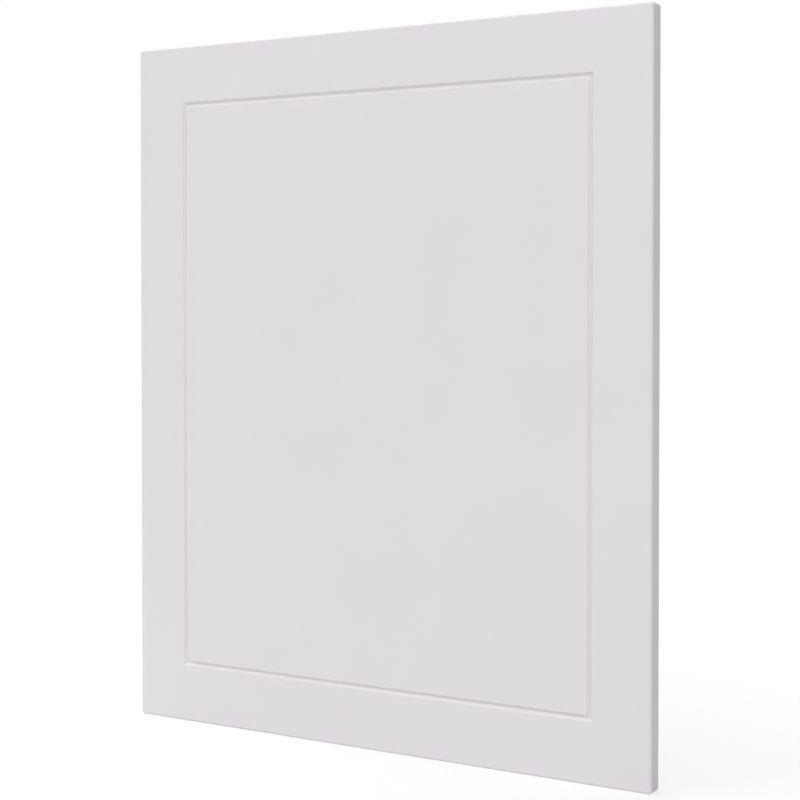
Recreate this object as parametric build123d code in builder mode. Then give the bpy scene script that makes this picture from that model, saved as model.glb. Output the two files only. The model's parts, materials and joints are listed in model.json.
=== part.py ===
from build123d import *

import os
from math import radians, tan

# Kitchen cabinet door: one board of MDF with a grooved front.
#
# The leaf stands upright, as it hangs on its cabinet. The front faces -Y and the back
# faces +Y, X runs along the width and Z up. The origin lies at the bottom edge, under
# the middle of the leaf and halfway through its thickness. All sizes are in millimetres.

# Board
leaf_width = 596.0
leaf_height = 716.0
leaf_thickness = 16.0
corner_radius = 4.0
front_edge_radius = 2.5
back_edge_arris = 0.4

# Groove routed all round the front with a V cutter
groove_inset = 62.0
groove_width = 5.5
groove_floor_width = 0.8
groove_floor_radius = 0.6
groove_lip_radius = 0.8
cutter_angle = 90.0
field_corner_radius = 5.0

# Hinge cups bored into the back, close to the hinge edge
cup_diameter = 35.0
cup_depth = 12.0
cup_edge_wall = 5.0
cup_end_distance = 100.0

# Pilot holes for the two screws of each hinge
pilot_diameter = 2.5
pilot_depth = 10.0
pilot_spacing = 45.0
pilot_setback = 9.5

# Worked out from the sizes above
front_y = -leaf_thickness / 2
back_y = leaf_thickness / 2
groove_depth = (groove_width - groove_floor_width) / 2 / tan(radians(cutter_angle / 2))
groove_floor_y = front_y + groove_depth
groove_x = leaf_width / 2 - groove_inset
groove_z = leaf_height / 2 - groove_inset
cup_x = leaf_width / 2 - cup_edge_wall - cup_diameter / 2
cup_z = leaf_height / 2 - cup_end_distance

# The two faces of the leaf, each with its origin in its middle and its normal outwards.
# The hinge edge is on the left from the front, so on the right from the back.
front_plane = Plane(origin=(0, front_y, leaf_height / 2), x_dir=(1, 0, 0), z_dir=(0, -1, 0))
back_plane = Plane(origin=(0, back_y, leaf_height / 2), x_dir=(-1, 0, 0), z_dir=(0, 1, 0))

with BuildPart() as door_leaf:
    # The board, sawn to size, with its four corners eased
    with BuildSketch(front_plane):
        RectangleRounded(leaf_width, leaf_height, corner_radius)
    extrude(amount=-leaf_thickness)

    # Its front edge is rounded over all round, and its back edge has a small arris
    fillet(door_leaf.faces().sort_by(Axis.Y).first.edges(), front_edge_radius)
    chamfer(door_leaf.faces().sort_by(Axis.Y).last.edges(), back_edge_arris)

    # The cutter follows a frame on the front, which closes in the middle of one side
    with BuildLine(front_plane) as cutter_path:
        Polyline(
            (-groove_x, 0),
            (-groove_x, groove_z),
            (groove_x, groove_z),
            (groove_x, -groove_z),
            (-groove_x, -groove_z),
            (-groove_x, 0),
        )
    path_start = Plane(
        origin=cutter_path.line @ 0, x_dir=(1, 0, 0), z_dir=cutter_path.line % 0
    )
    with BuildSketch(path_start):
        with BuildLine():
            Polyline(
                (-groove_width / 2, 0),
                (-groove_floor_width / 2, groove_depth),
                (groove_floor_width / 2, groove_depth),
                (groove_width / 2, 0),
                close=True,
            )
        make_face()
    sweep(path=cutter_path.line, transition=Transition.RIGHT, mode=Mode.SUBTRACT)

    # A mitre runs down each flank at the four corners of the groove. The outer mitres
    # stay sharp, and the inner ones, which stand out as ridges, are rounded off.
    mitres = door_leaf.edges(Select.LAST).filter_by_position(
        Axis.Y, front_y, groove_floor_y, inclusive=(False, False)
    )
    ridges = mitres.filter_by_position(Axis.X, -groove_x, groove_x)
    fillet(ridges, field_corner_radius)

    # The floor and the lips of the groove, which the sanding and the foil soften
    flat_faces = door_leaf.faces().filter_by(Axis.Y)
    groove_floor = flat_faces.filter_by_position(Axis.Y, front_y, back_y, (False, False))
    fillet(groove_floor.edges(), groove_floor_radius)
    flat_faces = door_leaf.faces().filter_by(Axis.Y)
    frame_face, field_face = flat_faces.group_by(Axis.Y)[0].sort_by(SortBy.AREA)
    fillet(frame_face.inner_wires().edges() + field_face.edges(), groove_lip_radius)

    # Two hinge cups, each with the pilot holes of its screws beside it
    with Locations(back_plane):
        with Locations((cup_x, cup_z), (cup_x, -cup_z)):
            Hole(cup_diameter / 2, cup_depth)
            with Locations((-pilot_setback, pilot_spacing / 2), (-pilot_setback, -pilot_spacing / 2)):
                Hole(pilot_diameter / 2, pilot_depth)

door_leaf.part.label = "door_leaf"
os.makedirs("parts", exist_ok=True)
export_step(door_leaf.part, "parts/door_leaf.step")
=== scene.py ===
import json
from math import cos, pi, radians, sin

import bmesh
import bpy
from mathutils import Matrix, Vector


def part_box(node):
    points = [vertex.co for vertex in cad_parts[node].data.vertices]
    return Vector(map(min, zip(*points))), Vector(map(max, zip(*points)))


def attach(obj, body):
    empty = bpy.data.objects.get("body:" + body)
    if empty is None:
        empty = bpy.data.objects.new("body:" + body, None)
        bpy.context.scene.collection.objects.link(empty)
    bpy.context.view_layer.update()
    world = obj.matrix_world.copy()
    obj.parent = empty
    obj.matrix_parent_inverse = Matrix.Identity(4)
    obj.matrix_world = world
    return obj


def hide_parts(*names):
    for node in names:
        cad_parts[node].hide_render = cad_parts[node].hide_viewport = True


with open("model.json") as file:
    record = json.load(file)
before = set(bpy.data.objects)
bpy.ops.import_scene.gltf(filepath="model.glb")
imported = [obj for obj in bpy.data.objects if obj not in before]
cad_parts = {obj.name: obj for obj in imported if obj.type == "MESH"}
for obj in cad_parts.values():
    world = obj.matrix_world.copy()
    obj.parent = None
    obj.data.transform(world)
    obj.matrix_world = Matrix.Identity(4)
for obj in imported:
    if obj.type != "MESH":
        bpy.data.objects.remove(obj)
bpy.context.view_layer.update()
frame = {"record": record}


# The leaf
# One board of MDF, sawn to size. A router rounds its front edge over and cuts a V groove
# round the front, with sharp mitres outside and softened corners on the field inside.
# All of it is one closed skin, made of rings that follow the outline of the leaf.

leaf_low, leaf_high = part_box("door_leaf")
leaf_width = leaf_high.x - leaf_low.x
leaf_height = leaf_high.z - leaf_low.z
leaf_middle = (leaf_low + leaf_high) / 2
front = leaf_low.y
back = leaf_high.y

corner_radius = 0.004
front_edge_radius = 0.0025
back_edge_arris = 0.0004

groove_inset = 0.062
groove_width = 0.0055
groove_floor_width = 0.0008
groove_depth = 0.00235
groove_lip_radius = 0.0008
groove_floor_radius = 0.0006
groove_mitre_radius = 0.0003
field_corner_radius = 0.0035

arc_steps = 6
corner_steps = 8
support = 0.0001
lip_outside = groove_inset - groove_width / 2
lip_inside = groove_inset + groove_width / 2
floor_outside = groove_inset - groove_floor_width / 2
floor_inside = groove_inset + groove_floor_width / 2

# The section from the back to the field, where it ends a groove's width inside the groove.
# Each corner is (inset, y, radius of its rounding).
section = [
    (back_edge_arris, back, 0),
    (0, back - back_edge_arris, 0),
    (0, front, front_edge_radius),
    (lip_outside, front, groove_lip_radius),
    (floor_outside, front + groove_depth, groove_floor_radius),
    (floor_inside, front + groove_depth, groove_floor_radius),
    (lip_inside, front, groove_lip_radius),
    (lip_inside + groove_width, front, 0),
]


def rounded(before, corner, after, radius):
    """Points of the arc that rounds a corner, with a support point on either side of it."""
    towards, away = (before - corner).normalized(), (after - corner).normalized()
    half_angle = towards.angle(away) / 2
    tangent_length = radius * cos(half_angle) / sin(half_angle)
    centre = corner + (towards + away).normalized() * radius / sin(half_angle)
    start = corner + towards * tangent_length - centre
    end = corner + away * tangent_length - centre
    turn = start.angle(end)
    arc = []
    for k in range(arc_steps + 1):
        share = k / arc_steps
        arc.append(centre + (start * sin(turn * (1 - share)) + end * sin(turn * share)) / sin(turn))
    return [arc[0] + towards * support, *arc, arc[-1] + away * support]


def plan_radius(inset):
    """Radius of a ring's corners, seen from the front."""
    if inset < lip_outside / 2:
        return corner_radius - inset
    if inset < groove_inset:
        return groove_mitre_radius
    return max(field_corner_radius - max(inset - lip_inside, 0), groove_mitre_radius)


def ring(skin, inset, y):
    """A closed loop of vertices at an inset from the outline of the leaf."""
    radius = plan_radius(inset)
    half_width = leaf_width / 2 - inset - radius
    half_height = leaf_height / 2 - inset - radius
    loop = []
    for quarter, (side_x, side_z) in enumerate([(1, 1), (-1, 1), (-1, -1), (1, -1)]):
        for k in range(corner_steps + 1):
            angle = (quarter + k / corner_steps) * pi / 2
            x = leaf_middle.x + side_x * half_width + radius * cos(angle)
            z = leaf_middle.z + side_z * half_height + radius * sin(angle)
            loop.append(skin.verts.new((x, y, z)))
    return loop


skin = bmesh.new()
corners = [Vector((inset, y)) for inset, y, radius in section]
rings = []
for k, (inset, y, radius) in enumerate(section):
    points = rounded(*corners[k - 1:k + 2], radius) if radius else [corners[k]]
    rings += [ring(skin, point.x, point.y) for point in points]
for outer, inner in zip(rings, rings[1:]):
    for a, b, c, d in zip(outer, outer[1:] + outer[:1], inner[1:] + inner[:1], inner):
        skin.faces.new((a, b, c, d))
arris = list(skin.faces)[:len(rings[0])]
backing_face = skin.faces.new(rings[0])
skin.faces.new(rings[-1])
bmesh.ops.recalc_face_normals(skin, faces=skin.faces)

foil_index, trim_index, backing_index = 0, 1, 2
for face in arris:
    face.material_index = trim_index
backing_face.material_index = backing_index
leaf_mesh = bpy.data.meshes.new("foil_wrapped_leaf")
skin.to_mesh(leaf_mesh)
skin.free()


# The foil
# A matt sheet of plastic 0.4 mm thick in very light grey, drawn by heat and vacuum over the
# front, into the groove and round the edges. It has a fine grain and follows the board in
# faint waves.

foil_pale = (0.717, 0.694, 0.718)
foil_deep = (0.705, 0.682, 0.706)
foil_gloss = 0.42
foil_roughness = 0.52
roughness_difference = 0.03
cloud_size = 0.11
gloss_patch_size = 0.016
wave_length = 0.009
wave_height = 0.000015
foil_grain_size = 0.0008
foil_grain_height = 0.000012


def add_node(tree, kind, links=None, **values):
    """A node with links and values at its inputs. Underscores stand for spaces in a value's name."""
    node = tree.nodes.new(kind)
    for name, value in values.items():
        node.inputs[name.replace("_", " ")].default_value = value
    for name, source in (links or {}).items():
        tree.links.new(source, node.inputs[name])
    return node


def new_material(name, roughness, gloss=0.5):
    """A material with its node tree, its shader and its coordinates in metres."""
    material = bpy.data.materials.new(name)
    material.use_nodes = True
    tree = material.node_tree
    shader = tree.nodes["Principled BSDF"]
    shader.inputs["Roughness"].default_value = roughness
    shader.inputs["Specular IOR Level"].default_value = gloss
    return material, tree, shader, tree.nodes.new("ShaderNodeTexCoord").outputs["Object"]


def noise(tree, place, grain, detail):
    """Noise with grains of a given size in metres."""
    node = add_node(tree, "ShaderNodeTexNoise", {"Vector": place}, Scale=1 / grain, Detail=detail)
    return node.outputs["Fac"]


def shades(tree, amount, deep, pale, start=0.3, end=0.7):
    """Runs from the deep colour to the pale one as the amount rises from the start to the end."""
    ramp = add_node(tree, "ShaderNodeValToRGB", {"Fac": amount})
    deep_stop, pale_stop = ramp.color_ramp.elements
    deep_stop.position = start
    deep_stop.color = (*deep, 1)
    pale_stop.position = end
    pale_stop.color = (*pale, 1)
    return ramp.outputs["Color"]


def spread(tree, amount, low, high):
    """The amount, from 0 to 1, carried to a range."""
    node = add_node(tree, "ShaderNodeMapRange", {"Value": amount}, To_Min=low, To_Max=high)
    return node.outputs["Result"]


def relief(tree, shader, pattern, height, under=None):
    """Bumps of a given height in metres, on top of other bumps where some are given."""
    node = add_node(tree, "ShaderNodeBump", {"Height": pattern}, Distance=height)
    if under:
        tree.links.new(under, node.inputs["Normal"])
    tree.links.new(node.outputs["Normal"], shader.inputs["Normal"])
    return node.outputs["Normal"]


foil, tree, shader, place = new_material("matt_foil", foil_roughness, foil_gloss)
cloud = noise(tree, place, cloud_size, detail=2)
tree.links.new(shades(tree, cloud, foil_deep, foil_pale), shader.inputs["Base Color"])
gloss_patches = noise(tree, place, gloss_patch_size, detail=3)
smoothest = foil_roughness - roughness_difference
roughest = foil_roughness + roughness_difference
tree.links.new(spread(tree, gloss_patches, smoothest, roughest), shader.inputs["Roughness"])
waves = relief(tree, shader, noise(tree, place, wave_length, detail=1), wave_height)
relief(tree, shader, noise(tree, place, foil_grain_size, detail=3), foil_grain_height, waves)
leaf_mesh.materials.append(foil)


# The trimmed edge of the foil
# Round the back the foil is cut off with a knife, and its edge is filed to a fine bevel that
# shows the core of the foil and short file marks.

trim_pale = (0.74, 0.72, 0.73)
trim_deep = (0.62, 0.60, 0.60)
trim_roughness = 0.6
file_mark_size = 0.0005
file_mark_height = 0.00003

trim, tree, shader, place = new_material("filed_foil_edge", trim_roughness)
file_marks = noise(tree, place, file_mark_size, detail=2)
tree.links.new(shades(tree, file_marks, trim_deep, trim_pale), shader.inputs["Base Color"])
relief(tree, shader, file_marks, file_mark_height)
leaf_mesh.materials.append(trim)


# The backing
# White melamine paper on the back of the board, pressed against a finely pebbled plate.

backing_pale = (0.84, 0.84, 0.83)
backing_deep = (0.81, 0.81, 0.80)
backing_roughness = 0.4
speckle_size = 0.0025
pebble_size = 0.0011
pebble_height = 0.00003

backing, tree, shader, place = new_material("white_melamine", backing_roughness)
speckle = noise(tree, place, speckle_size, detail=4)
tree.links.new(shades(tree, speckle, backing_deep, backing_pale), shader.inputs["Base Color"])
pebbles = add_node(tree, "ShaderNodeTexVoronoi", {"Vector": place}, Scale=1 / pebble_size)
relief(tree, shader, pebbles.outputs["Distance"], pebble_height)
leaf_mesh.materials.append(backing)


# The hinge borings
# Two flat cups for concealed hinges, each with two pilot holes for the screws of the hinge's
# flange. The bits go in from the back, through the melamine into bare brown fibreboard. The
# centre point of the cup's bit leaves a dimple in the cup's floor, and its cutters fine rings.

mounts = {mount["name"]: mount for mount in frame["record"]["mounts"]}
cup = mounts["hinge_cup_lower"]
screws = mounts["hinge_screws_lower"]
cup_x, _, lowest_cup_z = cup["pos_m"]
highest_cup_z = mounts["hinge_cup_upper"]["pos_m"][2]
middle_z = (lowest_cup_z + highest_cup_z) / 2
boring_sizes = {
    "Cup radius": cup["dims"]["r_mm"] / 1000,
    "Cup depth": cup["dims"]["length_mm"] / 1000,
    "Point radius": 0.0015,
    "Point depth": 0.002,
    "Cup rise": highest_cup_z - lowest_cup_z,
    "Pilot radius": screws["dims"]["hole_r_mm"] / 1000,
    "Pilot depth": 0.010,
    "Pilot spacing": screws["dims"]["spacing_y_mm"] / 1000,
    "Pilot setback": screws["pos_m"][0] - cup_x,
    "Overrun": 0.002,
}

cup_sides = 96
pilot_sides = 24
point_sides = 32

board_deep = (0.30, 0.20, 0.12)
board_pale = (0.50, 0.37, 0.24)
board_roughness = 0.9
fibre_size = 0.0006
fibre_height = 0.00008
cutter_ring_width = 0.0007
cutter_ring_height = 0.00006

# The cutter's rings run round the middle of each cup. The cups lie equally far above and below
# the middle height, so one pattern, mirrored there, serves both.
bare_board, tree, shader, place = new_material("bare_fibreboard", board_roughness)
fibres = noise(tree, place, fibre_size, detail=6)
tree.links.new(shades(tree, fibres, board_deep, board_pale), shader.inputs["Base Color"])
from_middle = add_node(tree, "ShaderNodeMapping", {"Vector": place}, Location=(-cup_x, 0, -middle_z))
one_side = add_node(tree, "ShaderNodeVectorMath")
one_side.operation = "ABSOLUTE"
tree.links.new(from_middle.outputs["Vector"], one_side.inputs[0])
from_cup = add_node(
    tree,
    "ShaderNodeMapping",
    {"Vector": one_side.outputs["Vector"]},
    Location=(0, 0, -boring_sizes["Cup rise"] / 2),
)
waves_per_unit_scale = 10 / pi
cutter_rings = add_node(
    tree,
    "ShaderNodeTexWave",
    {"Vector": from_cup.outputs["Vector"]},
    Scale=1 / waves_per_unit_scale / cutter_ring_width,
)
cutter_rings.wave_type = "RINGS"
cutter_rings.rings_direction = "Y"
rings_relief = relief(tree, shader, cutter_rings.outputs["Fac"], cutter_ring_height)
relief(tree, shader, fibres, fibre_height, rings_relief)

borings = bpy.data.node_groups.new("hinge_borings", "GeometryNodeTree")
borings.interface.new_socket("Geometry", in_out="OUTPUT", socket_type="NodeSocketGeometry")
for name in boring_sizes:
    borings.interface.new_socket(name, in_out="INPUT", socket_type="NodeSocketFloat")
size = borings.nodes.new("NodeGroupInput").outputs


def calculated(operation, first, second):
    """The result of a sum on two sockets, or on a socket and a number."""
    node = borings.nodes.new("ShaderNodeMath")
    node.operation = operation
    borings.links.new(first, node.inputs[0])
    if isinstance(second, (int, float)):
        node.inputs[1].default_value = second
    else:
        borings.links.new(second, node.inputs[1])
    return node.outputs[0]


def vector(**parts):
    """A vector from sockets for some of X, Y and Z."""
    return add_node(borings, "ShaderNodeCombineXYZ", parts).outputs["Vector"]


def laid_in(bit, height):
    """A bit made along Z, turned to point into the board, its middle at a height over the back."""
    laid = add_node(
        borings,
        "GeometryNodeTransform",
        {"Geometry": bit.outputs["Mesh"], "Translation": vector(Y=height)},
        Rotation=(pi / 2, 0, 0),
    )
    return laid.outputs["Geometry"]


def round_bit(radius, depth, sides):
    """A bit with a flat end, at a depth below the back of the board, that overruns the surface."""
    length = calculated("ADD", depth, size["Overrun"])
    middle = calculated("MULTIPLY", calculated("SUBTRACT", size["Overrun"], depth), 0.5)
    rod = add_node(
        borings, "GeometryNodeMeshCylinder", {"Radius": radius, "Depth": length}, Vertices=sides
    )
    return laid_in(rod, middle)


def centre_point():
    """The cone in the middle of the cup's bit. Half of its height stands out of the flat end."""
    cone = add_node(
        borings,
        "GeometryNodeMeshCone",
        {
            "Radius Bottom": calculated("MULTIPLY", size["Point radius"], 2),
            "Depth": calculated("MULTIPLY", size["Point depth"], 2),
        },
        Vertices=point_sides,
        Radius_Top=0,
    )
    return laid_in(cone, calculated("SUBTRACT", size["Point depth"], size["Cup depth"]))


def pair(piece, step, start=None):
    """The piece at two points that lie one step apart, with the start midway between them."""
    half_a_step_back = (-0.5, -0.5, -0.5)
    first = borings.nodes.new("ShaderNodeVectorMath")
    first.operation = "MULTIPLY_ADD"
    first.inputs[1].default_value = half_a_step_back
    borings.links.new(step, first.inputs[0])
    if start:
        borings.links.new(start, first.inputs[2])
    points = add_node(
        borings,
        "GeometryNodeMeshLine",
        {"Start Location": first.outputs["Vector"], "Offset": step},
        Count=2,
    )
    placed = add_node(
        borings, "GeometryNodeInstanceOnPoints", {"Points": points.outputs["Mesh"], "Instance": piece}
    )
    return placed.outputs["Instances"]


pilots = pair(
    round_bit(size["Pilot radius"], size["Pilot depth"], pilot_sides),
    vector(Z=size["Pilot spacing"]),
    vector(X=size["Pilot setback"]),
)
cup_bit = round_bit(size["Cup radius"], size["Cup depth"], cup_sides)
one_hinge = borings.nodes.new("GeometryNodeJoinGeometry")
for bit in (cup_bit, centre_point(), pilots):
    borings.links.new(bit, one_hinge.inputs["Geometry"])
both_hinges = pair(one_hinge.outputs["Geometry"], vector(Z=size["Cup rise"]))
realized = add_node(borings, "GeometryNodeRealizeInstances", {"Geometry": both_hinges})
covered = add_node(
    borings, "GeometryNodeSetMaterial", {"Geometry": realized.outputs["Geometry"]}, Material=bare_board
)
add_node(borings, "NodeGroupOutput", {"Geometry": covered.outputs["Geometry"]})

bits = bpy.data.objects.new("boring_bits", bpy.data.meshes.new("boring_bits"))
bpy.context.collection.objects.link(bits)
bits.location = (cup_x, back, middle_z)
bits_modifier = bits.modifiers.new("hinge_borings", "NODES")
bits_modifier.node_group = borings
for socket in borings.interface.items_tree:
    if socket.in_out == "INPUT":
        bits_modifier[socket.identifier] = boring_sizes[socket.name]


# Boring the leaf
# The bits cut the leaf, and the faces that they leave are of bare board. Then the leaf is
# a plain mesh, smooth except at its real edges, and it takes the place of the CAD solid.

blank = bpy.data.objects.new("unbored_leaf", leaf_mesh)
bpy.context.collection.objects.link(blank)
boring = blank.modifiers.new("boring", "BOOLEAN")
boring.operation = "DIFFERENCE"
boring.solver = "EXACT"
boring.use_self = True
boring.material_mode = "TRANSFER"
boring.object = bits
bored = bpy.data.meshes.new_from_object(blank.evaluated_get(bpy.context.evaluated_depsgraph_get()))
bpy.data.objects.remove(blank)
bpy.data.objects.remove(bits)

sharpest_curve = radians(25)
finish = bmesh.new()
finish.from_mesh(bored)
for face in finish.faces:
    face.smooth = True
for edge in finish.edges:
    edge.smooth = edge.calc_face_angle() < sharpest_curve
finish.to_mesh(bored)
finish.free()

leaf = bpy.data.objects.new("door_leaf_finished", bored)
bpy.context.collection.objects.link(leaf)
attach(leaf, "root")
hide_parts("door_leaf")


# The studio
# A white floor and white surroundings. Broad soft lamps stand high at the left and low at the
# right, so that the right side of the leaf stays in half shade, and one lights the back.
# Each lamp is (turn from the front towards the right, rise, strength), with turns in degrees.

surroundings_light = 0.03
lamp_breadth = radians(70)
lamps = {
    "left_lamp": (-75, 50, 2.03),
    "high_lamp": (-40, 60, 0.85),
    "right_lamp": (31, 15, 1.69),
    "back_lamp": (-152, 30, 1.45),
}
for name, (turn, rise, strength) in lamps.items():
    lamp = bpy.data.lights.new(name, "SUN")
    lamp.energy = strength
    lamp.angle = lamp_breadth
    stand = bpy.data.objects.new(name, lamp)
    stand.rotation_euler = (pi / 2 - radians(rise), 0, radians(turn))
    bpy.context.collection.objects.link(stand)


def seen_as_background(tree):
    """1 for the rays that show the background: from the camera, off gloss and through glass."""
    path = tree.nodes.new("ShaderNodeLightPath")
    seen = path.outputs["Is Camera Ray"]
    for kind in ("Is Glossy Ray", "Is Transmission Ray"):
        either = tree.nodes.new("ShaderNodeMath")
        either.operation = "MAXIMUM"
        tree.links.new(seen, either.inputs[0])
        tree.links.new(path.outputs[kind], either.inputs[1])
        seen = either.outputs[0]
    return seen


world = bpy.data.worlds.new("white_surroundings")
world.use_nodes = True
bpy.context.scene.world = world
tree = world.node_tree
surroundings = tree.nodes["Background"]
surroundings.inputs["Color"].default_value = (1, 1, 1, 1)
strength = spread(tree, seen_as_background(tree), surroundings_light, 1)
tree.links.new(strength, surroundings.inputs["Strength"])

# The floor glows, so that it shows white and is lit evenly, and keeps a faint shadow of the leaf.
floor_reach = 6
floor_colour = (0.8, 0.8, 0.8, 1)
glow_seen = 1.06
glow_share_seen = 0.65
glow_cast = 0.75
glow_share_cast = 0.5
floor_paint = bpy.data.materials.new("studio_floor")
floor_paint.use_nodes = True
tree = floor_paint.node_tree
tree.nodes.remove(tree.nodes["Principled BSDF"])
seen = seen_as_background(tree)
matt = add_node(tree, "ShaderNodeBsdfDiffuse", Color=floor_colour)
strength = spread(tree, seen, glow_cast, glow_seen)
glow = add_node(tree, "ShaderNodeEmission", {"Strength": strength})
glow_share = spread(tree, seen, glow_share_cast, glow_share_seen)
paint = add_node(tree, "ShaderNodeMixShader", {"Fac": glow_share})
tree.links.new(matt.outputs["BSDF"], paint.inputs[1])
tree.links.new(glow.outputs["Emission"], paint.inputs[2])
tree.links.new(paint.outputs["Shader"], tree.nodes["Material Output"].inputs["Surface"])

corner_signs = ((-1, -1), (1, -1), (1, 1), (-1, 1))
floor_corners = [(x * floor_reach, y * floor_reach, leaf_low.z) for x, y in corner_signs]
floor_mesh = bpy.data.meshes.new("studio_floor")
floor_mesh.from_pydata(floor_corners, [], [(0, 1, 2, 3)])
floor_mesh.materials.append(floor_paint)
floor = bpy.data.objects.new("studio_floor", floor_mesh)
bpy.context.collection.objects.link(floor)

# The camera stands to the right of the leaf, a little above its middle
camera_place = (0.927, -1.461, 0.449)
camera_turn = radians(31.66)
camera_tilt = radians(1.22)
sensor_width = 36
picture_pixels = 800
focal_pixels = 1743
picture_drop_pixels = 64

camera = bpy.data.cameras.new("camera")
camera.sensor_width = sensor_width
camera.lens = sensor_width * focal_pixels / picture_pixels
camera.shift_y = -picture_drop_pixels / picture_pixels
viewer = bpy.data.objects.new("camera", camera)
viewer.location = camera_place
viewer.rotation_euler = (pi / 2 - camera_tilt, 0, camera_turn)
bpy.context.collection.objects.link(viewer)
bpy.context.scene.camera = viewer
bpy.context.scene.view_settings.view_transform = "Standard"
